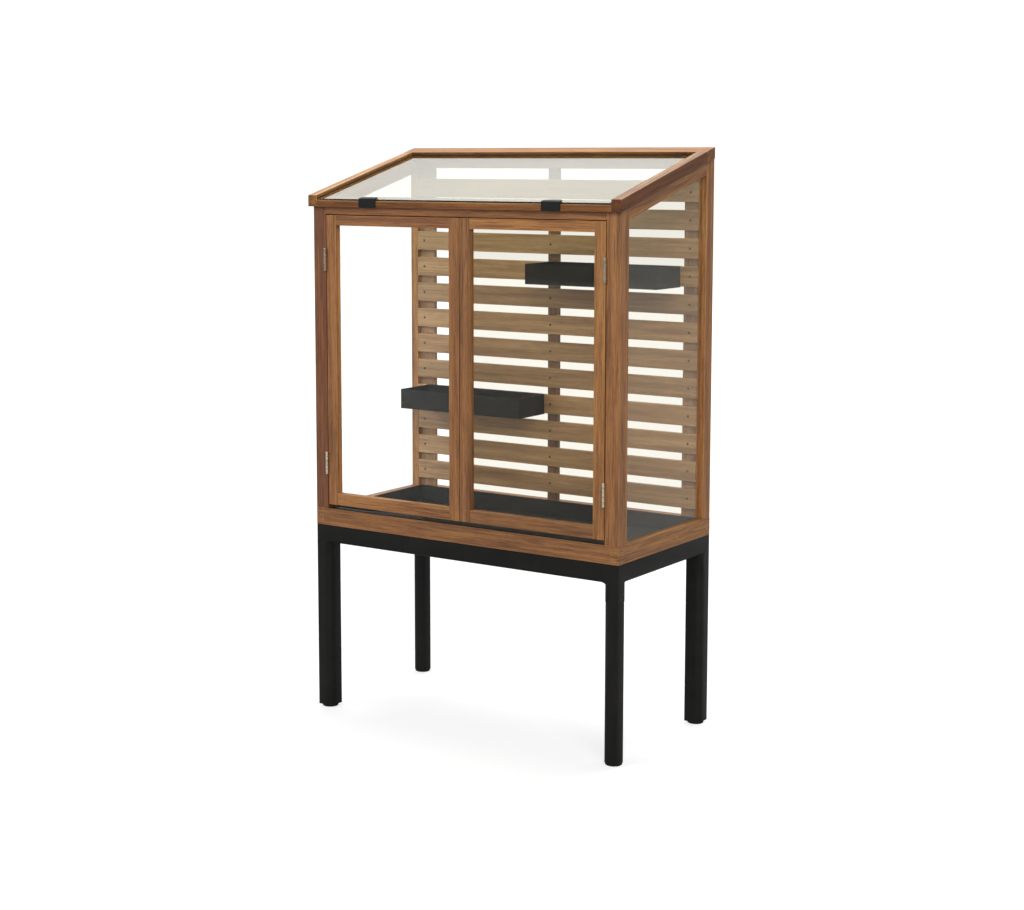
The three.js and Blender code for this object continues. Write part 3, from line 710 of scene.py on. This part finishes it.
for side in ("left", "right"):
    low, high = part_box(f"side_rail_{side}")
    rail = box_between(low - saw_allowance, high + saw_allowance)
    saw_off(rail, eaves, roof_normal)
    saw_off(rail, eaves - Vector((0, 0, side_rail_height)), -roof_normal)
    wooden(
        rail, f"side_top_{side}", "cabinet", "slope", board_ease, side_rail_look,
        f"side_rail_{side}",
    )

    low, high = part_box(f"side_pane_{side}")
    pane = box_between(low, high + saw_allowance)
    saw_off(pane, eaves - Vector((0, 0, side_pane_under_roof)), roof_normal)
    glazed(
        pane, f"side_glass_{side}", "cabinet", "clear_glass", pane_finishes[side],
        Vector((1, 0, 0)), f"side_pane_{side}",
    )


# Top rails: the front one has a lip behind the doors, which stops them when they close.
# The back one carries the hinge of the lid. Both are sawn to the slope on top.
door_thickness = 0.020
front_rail_low = 1.2875
lip_clearance = 0.0003
front_rail_look = ("brown", 1.12)
back_rail_look = ("plain", 0.95)

low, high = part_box("front_top_rail")
lip_face = low.y + door_thickness + lip_clearance
front_rail_section = [
    (low.y, front_rail_low),
    (lip_face, front_rail_low),
    (lip_face, low.z),
    (high.y, low.z),
    (high.y, high.z),
    (low.y, eaves.z),
]
wooden(
    sawn([(low.x, y, z) for y, z in front_rail_section], (high.x - low.x, 0, 0)),
    "front_top_bar", "cabinet", "x", board_ease, front_rail_look, "front_top_rail",
)

low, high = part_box("back_top_rail")
back_rail = box_between(low, high + saw_allowance)
saw_off(back_rail, eaves, roof_normal)
wooden(
    back_rail, "back_top_bar", "cabinet", "x", board_ease, back_rail_look,
    "back_top_rail",
)


# Back: three battens behind twelve slats of the same wood, left greyer and drier because
# it is open to the weather. One dark screw holds each slat to each batten.
slat_ease = 0.0014
slat_count = 12
slat_palest = 1.12
slat_darkest = 0.84
# The last shade goes on the eased edges: partly rubbed wear, partly painted highlight.
slat_shades = {
    "dark": (0.145, 0.083, 0.0395, 1),
    "middle": (0.288, 0.180, 0.0860, 1),
    "pale": (0.390, 0.266, 0.1420, 1),
    "worn_and_highlit": (0.430, 0.320, 0.1900, 1),
}
slat_contrast = 0.5
slat_wood = {
    way: wood(f"slat_wood_along_{way}", wood_turns[way], slat_shades, slat_contrast)
    for way in ("x", "z")
}
screw_radius = 0.0030
screw_proud = 0.0008
screw_rim = 0.0016
screw_recess = 0.0005
screw_segments = 20
screw_smooth_degrees = 40
screw_dark = (0.030, 0.020, 0.013, 1)
screw_pale = (0.070, 0.050, 0.035, 1)
screw_roughness = 0.4
batten_looks = {
    "left": ("brown", 1.05),
    "centre": ("red", 0.85),
    "right": ("brown", 1.15),
}

batten_centres = []
for place, look in batten_looks.items():
    low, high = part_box(f"back_batten_{place}")
    batten_centres.append((low.x + high.x) / 2)
    wooden(
        box_between(low, high), f"batten_{place}", "cabinet", "z", slat_ease, look,
        f"back_batten_{place}", slot="slat_wood", finishes=slat_wood,
    )

screw_finish = powder_coat("screw_dark_steel", screw_dark, screw_pale, screw_roughness)
screws = bmesh.new()
for index in range(1, slat_count + 1):
    node = f"back_slat_{index:02d}"
    low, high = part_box(node)
    look = ("plain", chance.uniform(slat_darkest, slat_palest))
    wooden(
        box_between(low, high), f"slat_{index:02d}", "cabinet", "x", slat_ease, look,
        node, slot="slat_wood", finishes=slat_wood,
    )
    for x in batten_centres:
        spot = Matrix.Translation((x, low.y, (low.z + high.z) / 2))
        bmesh.ops.create_cone(
            screws, cap_ends=True, segments=screw_segments, radius1=screw_radius,
            radius2=screw_radius, depth=2 * screw_proud,
            matrix=spot @ Matrix.Rotation(quarter_turn, 4, "X"),
        )
heads = [face for face in screws.faces if face.normal.y < -facing]
bmesh.ops.inset_individual(screws, faces=heads, thickness=screw_rim, depth=-screw_recess)
screw_piece = put_in_place(screws, "slat_screws", "cabinet", "stand_black", screw_finish)
smooth_but_for(screw_piece, screw_smooth_degrees)


# Shelf trays: open boxes folded from charcoal coated steel. The back wall turns over the
# top of a slat in a flange with two hooks, so that each tray hangs and lifts off.
shelf_sheet = 0.002
shelf_hook_width = 0.060
shelf_hook_spacing = 0.220
shelf_hook_drop = 0.012
shelf_gap = 0.0003
shelf_fold_radius = 0.0005
hung_on_slat = {"upper": 9, "lower": 4}
slat_thickness = 0.012
for shelf, slat_number in hung_on_slat.items():
    low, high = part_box(f"shelf_tray_{shelf}")
    slat_low, slat_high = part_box(f"back_slat_{slat_number:02d}")
    back = slat_low.y - shelf_gap
    rim = slat_high.z
    middle = (low.x + high.x) / 2
    spans = []
    for side in (-1, 1):
        centre = middle + side * shelf_hook_spacing / 2
        spans.append((centre - shelf_hook_width / 2, centre + shelf_hook_width / 2))
    shelf_tray = open_tray(
        low, (high.x, back, rim), [x for span in spans for x in span]
    )
    flange = rim_between(shelf_tray, back, rim, low.x, high.x)
    flange = fold(shelf_tray, flange, (0, 0, shelf_gap))
    fold(shelf_tray, flange, (0, slat_thickness, 0))
    for start, end in spans:
        hook = rim_between(
            shelf_tray, back + slat_thickness, rim + shelf_gap, start, end
        )
        hook = fold(shelf_tray, hook, (0, 2 * shelf_gap, 0))
        fold(shelf_tray, hook, (0, 0, -shelf_hook_drop - shelf_gap))
    bmesh.ops.recalc_face_normals(shelf_tray, faces=shelf_tray.faces)
    piece = put_in_place(
        shelf_tray, f"hanging_tray_{shelf}", f"{shelf}_shelf_tray", "tray_metal",
        tray_finish, f"shelf_tray_{shelf}",
    )
    as_sheet(piece, shelf_sheet, shelf_fold_radius)


# Doors: two glazed frames of oiled hardwood. Each has two stiles the full height and two
# rails between them, mortised and glued, round a pane of glass held in a groove.
stile_width = 0.030
door_top_rail = 0.026
door_bottom_rail = 0.031
door_ease = 0.0010
door_looks = {
    "left": {
        "outer": ("plain", 1.0),
        "inner": ("plain", 0.92),
        "top": ("brown", 1.08),
        "bottom": ("plain", 1.0),
    },
    "right": {
        "outer": ("golden", 1.02),
        "inner": ("plain", 0.84),
        "top": ("golden", 1.15),
        "bottom": ("plain", 0.74),
    },
}
for side, looks in door_looks.items():
    low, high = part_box(f"door_frame_{side}")
    body = f"{side}_door"
    left, right = low.x + stile_width, high.x - stile_width
    stiles = [(low, (left, high.y, high.z)), ((right, low.y, low.z), high)]
    if side == "right":
        stiles.reverse()
    boards = {
        "outer": stiles[0],
        "inner": stiles[1],
        "top": ((left, low.y, high.z - door_top_rail), (right, high.y, high.z)),
        "bottom": ((left, low.y, low.z), (right, high.y, low.z + door_bottom_rail)),
    }
    for place, (start, end) in boards.items():
        kind = "stile" if place in ("outer", "inner") else "rail"
        way = "z" if kind == "stile" else "x"
        wooden(
            box_between(start, end), f"{side}_door_{place}_{kind}", body, way, door_ease,
            looks[place], f"door_frame_{side}",
        )
    low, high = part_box(f"door_pane_{side}")
    glazed(
        box_between(low, high), f"{side}_door_glass", body, "clear_glass",
        pane_finishes[side], Vector((0, 1, 0)), f"door_pane_{side}",
    )


# Door hinges: small pressed brass butt hinges, two to a door. Both leaves lie in the gap
# between door and post, and only the knuckles and pin stand in front of it.
pin_y = -0.22275
knuckle_count = 5
knuckle_radius = 0.0034
knuckle_gap = 0.00035
leaf_thickness = 0.0012
leaf_clearance = 0.0003
leaf_start = 0.0037
leaf_overlap = 0.0003
knuckle_rim = 0.0007
hinge_segments = 28
hinge_smooth_degrees = 30
brass_dark = (0.520, 0.460, 0.360, 1)
brass_pale = (0.760, 0.710, 0.610, 1)
brass_roughness = 0.18
brass_smoother = 0.08
brass_rougher = 0.1
tarnish_scale = 180
tarnish_start = 0.35
tarnish_end = 0.6
brushing_scale = 2600
brushing_stretch = (1, 1, 0.1)
brushing_strength = 0.25


def plated_brass(name, dark, pale, roughness, line_height=0.00004):
    """Brushed brass plating, slightly dulled."""
    material, tree, shader = new_material(name)
    place = add_node(tree, "ShaderNodeTexCoord").outputs["Object"]
    tarnish = noise(tree, place, tarnish_scale, 4)
    brushed = add_node(
        tree, "ShaderNodeMapping", {"Vector": place, "Scale": brushing_stretch}
    ).outputs["Vector"]
    lines = noise(tree, brushed, brushing_scale, 2)
    shade = colour_ramp(tree, tarnish, [(tarnish_start, dark), (tarnish_end, pale)])
    gloss = spread(tree, lines, roughness - brass_smoother, roughness + brass_rougher)
    shader.inputs["Metallic"].default_value = 1
    surface(tree, shader, shade, gloss, lines, brushing_strength, line_height)
    return material


hinge_brass = plated_brass("hinge_brass", brass_dark, brass_pale, brass_roughness)


def add_rod(bm, start, end, radius, segments, rim):
    """A closed round rod between two points, with its rims broken."""
    line = Vector(end) - Vector(start)
    turn = line.to_track_quat("Z", "X").to_matrix().to_4x4()
    centre = Matrix.Translation((Vector(start) + Vector(end)) / 2)
    made = bmesh.ops.create_cone(
        bm, cap_ends=True, segments=segments, radius1=radius, radius2=radius,
        depth=line.length, matrix=centre @ turn,
    )["verts"]
    along = line.normalized()
    rims = [
        edge for edge in bm.edges
        if all(vert in made for vert in edge.verts) and not runs_along(edge, along)
    ]
    rounded(bm, rims, rim, 1)


def knuckle_spans(start, end, count, first):
    """Where every second knuckle of a hinge starts and ends, with a gap to the next."""
    step = (end - start) / count
    for knuckle in range(first, count, 2):
        span_start = start + knuckle * step + (knuckle_gap if knuckle else 0)
        span_end = start + (knuckle + 1) * step
        span_end -= 0 if knuckle == count - 1 else knuckle_gap
        yield span_start, span_end


for side, away in (("left", -1), ("right", 1)):
    for level in ("upper", "lower"):
        for leaf, body in (("post", "cabinet"), ("door", f"{side}_door")):
            node = f"hinge_{side}_{level}_{leaf}_leaf"
            low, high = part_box(node)
            pin_x = (low.x + high.x) / 2
            towards = away if leaf == "post" else -away
            faces = sorted(
                pin_x + towards * reach
                for reach in (leaf_clearance, leaf_clearance + leaf_thickness)
            )
            hinge = bmesh.new()
            add_box(
                hinge, (faces[0], pin_y + leaf_start, low.z), (faces[1], high.y, high.z)
            )
            leaf_edge = pin_y + leaf_start + leaf_overlap
            first = 0 if leaf == "post" else 1
            for start, end in knuckle_spans(low.z, high.z, knuckle_count, first):
                add_rod(
                    hinge, (pin_x, pin_y, start), (pin_x, pin_y, end), knuckle_radius,
                    hinge_segments, knuckle_rim,
                )
                add_box(hinge, (faces[0], pin_y, start), (faces[1], leaf_edge, end))
            piece = put_in_place(
                hinge, f"door_hinge_{side}_{level}_{leaf}", body, "brass", hinge_brass,
                node,
            )
            smooth_but_for(piece, hinge_smooth_degrees)


# Lid frame: two rails run up the slope and butt against a wider back rail. A lower front
# rail lets the glass slide in over it. All are of the same oiled hardwood.
lid_under = 0.0003
lid_depth = 0.028
lid_saw_start = -0.05
lid_rail_width = 0.028
lid_front_y = -0.22975
lid_back_y = 0.22025
lid_back_rail_start = 0.41545
lid_front_rail_top = 0.0153
lid_front_rail_end = 0.02158
lid_length = 0.50
lid_looks = {
    "left": ("golden", 0.90),
    "right": ("red", 0.72),
    "back": ("golden", 0.60),
    "front": ("brown", 0.92),
}
# Painted sheen: the top faces of the lid's rails are made paler than their sides, for the
# light that falls on them from above.
lid_top_painted_sheen = {
    "left": ("painted_sheen", 1.25),
    "right": ("painted_sheen", 0.80),
    "back": ("golden", 1.45),
}
lid_sheen = 0.25
lid_smoothest = 0.33
lid_roughest = 0.50
lid_wood = {
    way: wood(
        f"lid_wood_along_{way}", wood_turns[way], oiled_shades, sheen=lid_sheen,
        smooth=lid_smoothest, rough=lid_roughest,
    )
    for way in ("x", "slope")
}
lie_on_roof = Matrix.Translation(eaves) @ Matrix.Rotation(slope, 4, "X")


def on_roof(low, high):
    """A box laid on the roof: X, the way up the slope, and the height square to it."""
    bm = box_between(low, high)
    bmesh.ops.transform(bm, matrix=lie_on_roof, verts=bm.verts)
    return bm


low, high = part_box("lid_frame")
lid_top = lid_under + lid_depth
front_face = (Vector((0, lid_front_y, 0)), Vector((0, -1, 0)))
back_face = (Vector((0, lid_back_y, 0)), Vector((0, 1, 0)))
lid_rail_spans = {
    "left": (low.x, low.x + lid_rail_width),
    "right": (high.x - lid_rail_width, high.x),
}
for side, (start, end) in lid_rail_spans.items():
    rail = on_roof((start, lid_saw_start, lid_under), (end, lid_back_rail_start, lid_top))
    saw_off(rail, *front_face)
    wooden(
        rail, f"lid_rail_{side}", "lid", "slope", board_ease, lid_looks[side],
        "lid_frame", finishes=lid_wood, top=lid_top_painted_sheen[side],
    )
back_bar = on_roof((low.x, lid_back_rail_start, lid_under), (high.x, lid_length, lid_top))
saw_off(back_bar, *back_face)
wooden(
    back_bar, "lid_rail_back", "lid", "x", board_ease, lid_looks["back"], "lid_frame",
    finishes=lid_wood, top=lid_top_painted_sheen["back"],
)

low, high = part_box("lid_front_rail")
front_bar = on_roof(
    (low.x, lid_saw_start, lid_under), (high.x, lid_front_rail_end, lid_front_rail_top)
)
saw_off(front_bar, *front_face)
wooden(
    front_bar, "lid_rail_front", "lid", "x", board_ease, lid_looks["front"],
    "lid_front_rail", finishes=lid_wood,
)


# Lid glass: one sheet of faintly green float glass that slides up in the grooves of the
# lid, with its polished front edge over the front rail. A thin dark strip lies along it
# where it meets the side and back rails: painted shade for the shadowed groove.
lid_pane_start = -0.00608
lid_pane_end = 0.42293
lid_pane_under = 0.0158
lid_pane_top = 0.0198
lid_glass_tint = (0.820, 0.880, 0.760, 1)
lid_glass_index = 1.5
# Painted shade: a thin dark strip on the glass along the inner faces of the rails stands
# in for the shadow in the groove.
shade_strip_width = 0.0018
shade_strip_height = 0.0018
shade_strip_edge = 0.0003
shade_strip_dark = (0.016, 0.009, 0.005, 1)
shade_strip_pale = (0.024, 0.014, 0.008, 1)
shade_strip_roughness = 0.7

low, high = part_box("lid_pane")
lid_glass = pane_glass("lid_glass", lid_glass_tint, glass_edge_tint, lid_glass_index)
glazed(
    on_roof(
        (low.x, lid_pane_start, lid_pane_under), (high.x, lid_pane_end, lid_pane_top)
    ),
    "lid_glass_sheet", "lid", "lid_glass", lid_glass, roof_normal, "lid_pane",
)

shade_strip_finish = moulded_plastic("lid_groove_painted_shade", shade_strip_dark, shade_strip_pale, shade_strip_roughness)
low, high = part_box("lid_frame")
inner_left = low.x + lid_rail_width
inner_right = high.x - lid_rail_width
shade_strip_back = lid_back_rail_start - shade_strip_width
shade_strip_top = lid_pane_top + shade_strip_height
# The strip of painted shade: one box along each side rail and one along the back rail.
shade_strip = bmesh.new()
add_box(
    shade_strip, (inner_left, lid_pane_start, lid_pane_top),
    (inner_left + shade_strip_width, shade_strip_back, shade_strip_top),
)
add_box(
    shade_strip, (inner_right - shade_strip_width, lid_pane_start, lid_pane_top),
    (inner_right, shade_strip_back, shade_strip_top),
)
add_box(
    shade_strip, (inner_left, shade_strip_back, lid_pane_top),
    (inner_right, lid_back_rail_start, shade_strip_top),
)
bmesh.ops.transform(shade_strip, matrix=lie_on_roof, verts=shade_strip.verts)
rounded(shade_strip, shade_strip.edges[:], shade_strip_edge, ease_segments)
put_in_place(shade_strip, "lid_groove_shade_strip", "lid", "clip_black", shade_strip_finish)


# Pane clips: two black clips pressed over the front rail of the lid. Each is a plate bent
# back over the edge of the glass.
clip_sheet = 0.0025
clip_hook = 0.010
clip_top = 0.0226
clip_corner = 0.0022
clip_corner_segments = 4
clip_edge = 0.0004
clip_tolerance = 0.0003
clip_smooth_degrees = 35
clip_roughness = 0.5
along_slope = Vector((0, math.cos(slope), math.sin(slope)))
clip_finish = moulded_plastic("clip_black", plastic_dark, plastic_pale, clip_roughness)


def plumb(y, rise):
    """The point of the YZ plane at y that stands this far above the roof plane."""
    roof = eaves.z + (y - eaves.y) * math.tan(slope)
    return y, roof + rise / math.cos(slope)


for side in ("left", "right"):
    low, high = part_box(f"pane_clip_{side}")
    section = [
        plumb(low.y, lid_under),
        plumb(lid_front_y, lid_under),
        plumb(lid_front_y, clip_top - clip_sheet),
        plumb(lid_front_y + clip_hook, clip_top - clip_sheet),
        plumb(lid_front_y + clip_hook, clip_top),
        plumb(low.y, clip_top),
    ]
    clip = sawn([(low.x, y, z) for y, z in section], (high.x - low.x, 0, 0))
    free_corners = [
        edge for edge in clip.edges
        if (runs_along(edge, Vector((0, 1, 0))) or runs_along(edge, along_slope))
        and abs(edge.calc_length() - clip_sheet) < clip_tolerance
    ]
    rounded(clip, free_corners, clip_corner, clip_corner_segments)
    piece = put_in_place(
        clip, f"glass_clip_{side}", "lid", "clip_black", clip_finish, f"pane_clip_{side}"
    )
    smooth_but_for(piece, clip_smooth_degrees)
    break_corners(piece, clip_edge)


# Lid hinge: one long brass strip hinge along the back. Its lower leaf is screwed to the
# back top rail and its upper leaf to the back rail of the lid.
strip_knuckles = 41
strip_radius = 0.0027
strip_standoff = 0.0030
strip_leaf = 0.0012
strip_gap = 0.0003
strip_overlap = 0.0003
strip_rim = 0.0002
strip_segments = 16
strip_dark = (0.330, 0.230, 0.120, 1)
strip_pale = (0.390, 0.280, 0.150, 1)
strip_roughness = 0.38
strip_line_height = 0.000004
strip_brass = plated_brass(
    "strip_hinge_brass", strip_dark, strip_pale, strip_roughness, strip_line_height
)
axis_y = lid_back_y + strip_standoff
axis_z = 1.427012
for leaf, body, way in (("rail", "cabinet", -1), ("lid", "lid", 1)):
    node = f"lid_hinge_{leaf}_leaf"
    low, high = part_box(node)
    far = low.z if way < 0 else high.z
    near_edge = axis_z + way * (strip_radius + strip_gap)
    reach = near_edge + way * strip_overlap
    leaf_face = low.y + strip_leaf
    strip = bmesh.new()
    add_box(
        strip, (low.x, low.y, min(far, near_edge)),
        (high.x, leaf_face, max(far, near_edge)),
    )
    first = 0 if leaf == "rail" else 1
    for start, end in knuckle_spans(low.x, high.x, strip_knuckles, first):
        add_rod(
            strip, (start, axis_y, axis_z), (end, axis_y, axis_z), strip_radius,
            strip_segments, strip_rim,
        )
        add_box(
            strip, (start, low.y, min(axis_z, reach)),
            (end, leaf_face, max(axis_z, reach)),
        )
    piece = put_in_place(
        strip, f"lid_strip_hinge_{leaf}", body, "brass", strip_brass, node
    )
    smooth_but_for(piece, hinge_smooth_degrees)


# Studio: a plain pale floor, a white surround, and soft lamps at a plain level. The
# camera stands where the photograph was taken.
white = (1, 1, 1, 1)
floor_size = 30.0
floor_colour = (0.45, 0.45, 0.45, 1)
floor_roughness = 0.9
floor_sheen = 0.1
floor_glow = 0.62
plain_level = 0.45
room_level = 0.15
behind_level = 0.55
behind_from = 0.20
behind_to = 0.65
sky_level = 1.5
sky_from = 0.15
sky_to = 0.45
seen_level = 1.12
# Each lamp: the way to it, its strength, and how wide it is in degrees.
lamps = {
    "key_lamp": ((0.62, -0.68, 0.48), 1.7, 30),
    "fill_lamp": ((-0.50, -0.75, 0.43), 0.8, 40),
    "top_lamp": ((-0.10, 0.35, 0.93), 1.8, 40),
}
camera_place = (2.6401, -3.92425, 1.4290)
camera_tilt_degrees = 83.164
camera_turn_degrees = 34.420
camera_lens = 66.07
camera_sensor = 36
camera_shift = (0.0185, -0.0700)

ground = bmesh.new()
bmesh.ops.create_grid(ground, x_segments=1, y_segments=1, size=floor_size / 2)
floor_mesh = bpy.data.meshes.new("floor")
ground.to_mesh(floor_mesh)
ground.free()
floor = bpy.data.objects.new("floor", floor_mesh)
bpy.context.scene.collection.objects.link(floor)

floor_finish, tree, shader = new_material("floor_pale")
shader.inputs["Base Color"].default_value = floor_colour
shader.inputs["Roughness"].default_value = floor_roughness
shader.inputs["Specular IOR Level"].default_value = floor_sheen
shader.inputs["Emission Color"].default_value = white


def seen_directly(tree, way):
    """1 for what the camera sees, also through glass, and 0 for all other light."""
    return add_node(
        tree, "ShaderNodeMath", {0: way["Is Camera Ray"], 1: way["Is Transmission Ray"]},
        operation="MAXIMUM",
    ).outputs["Value"]


way = add_node(tree, "ShaderNodeLightPath").outputs
glow = spread(tree, seen_directly(tree, way), 0.0, floor_glow)
tree.links.new(glow, shader.inputs["Emission Strength"])
floor_mesh.materials.append(floor_finish)

world = bpy.data.worlds.new("surround")
bpy.context.scene.world = world
world.use_nodes = True
tree = world.node_tree
tree.nodes.clear()
way = add_node(tree, "ShaderNodeLightPath").outputs
direction = add_node(tree, "ShaderNodeTexCoord").outputs["Generated"]
towards = add_node(tree, "ShaderNodeSeparateXYZ", {"Vector": direction}).outputs
mirrored = add_node(tree, "ShaderNodeMath", {
    0: spread(tree, towards["Z"], room_level, sky_level, sky_from, sky_to),
    1: spread(tree, towards["Y"], room_level, behind_level, behind_from, behind_to),
}, operation="MAXIMUM").outputs["Value"]
lighting = add_node(
    tree, "ShaderNodeMix", {0: way["Is Glossy Ray"], 2: plain_level, 3: mirrored}
).outputs[0]
level = add_node(
    tree, "ShaderNodeMix", {0: seen_directly(tree, way), 2: lighting, 3: seen_level}
).outputs[0]
backdrop = add_node(tree, "ShaderNodeBackground", {"Color": white, "Strength": level})
output = tree.nodes.new("ShaderNodeOutputWorld")
tree.links.new(backdrop.outputs["Background"], output.inputs["Surface"])

for name, (towards_lamp, strength, width_degrees) in lamps.items():
    light = bpy.data.lights.new(name, "SUN")
    light.energy = strength
    light.angle = math.radians(width_degrees)
    lamp = bpy.data.objects.new(name, light)
    bpy.context.scene.collection.objects.link(lamp)
    lamp.rotation_euler = (-Vector(towards_lamp)).to_track_quat("-Z", "Y").to_euler()

camera_data = bpy.data.cameras.new("camera")
camera_data.sensor_width = camera_sensor
camera_data.lens = camera_lens
camera_data.shift_x, camera_data.shift_y = camera_shift
camera = bpy.data.objects.new("camera", camera_data)
camera.location = camera_place
camera.rotation_euler = (
    math.radians(camera_tilt_degrees), 0, math.radians(camera_turn_degrees)
)
bpy.context.scene.collection.objects.link(camera)
bpy.context.scene.camera = camera
bpy.context.scene.view_settings.view_transform = "Standard"
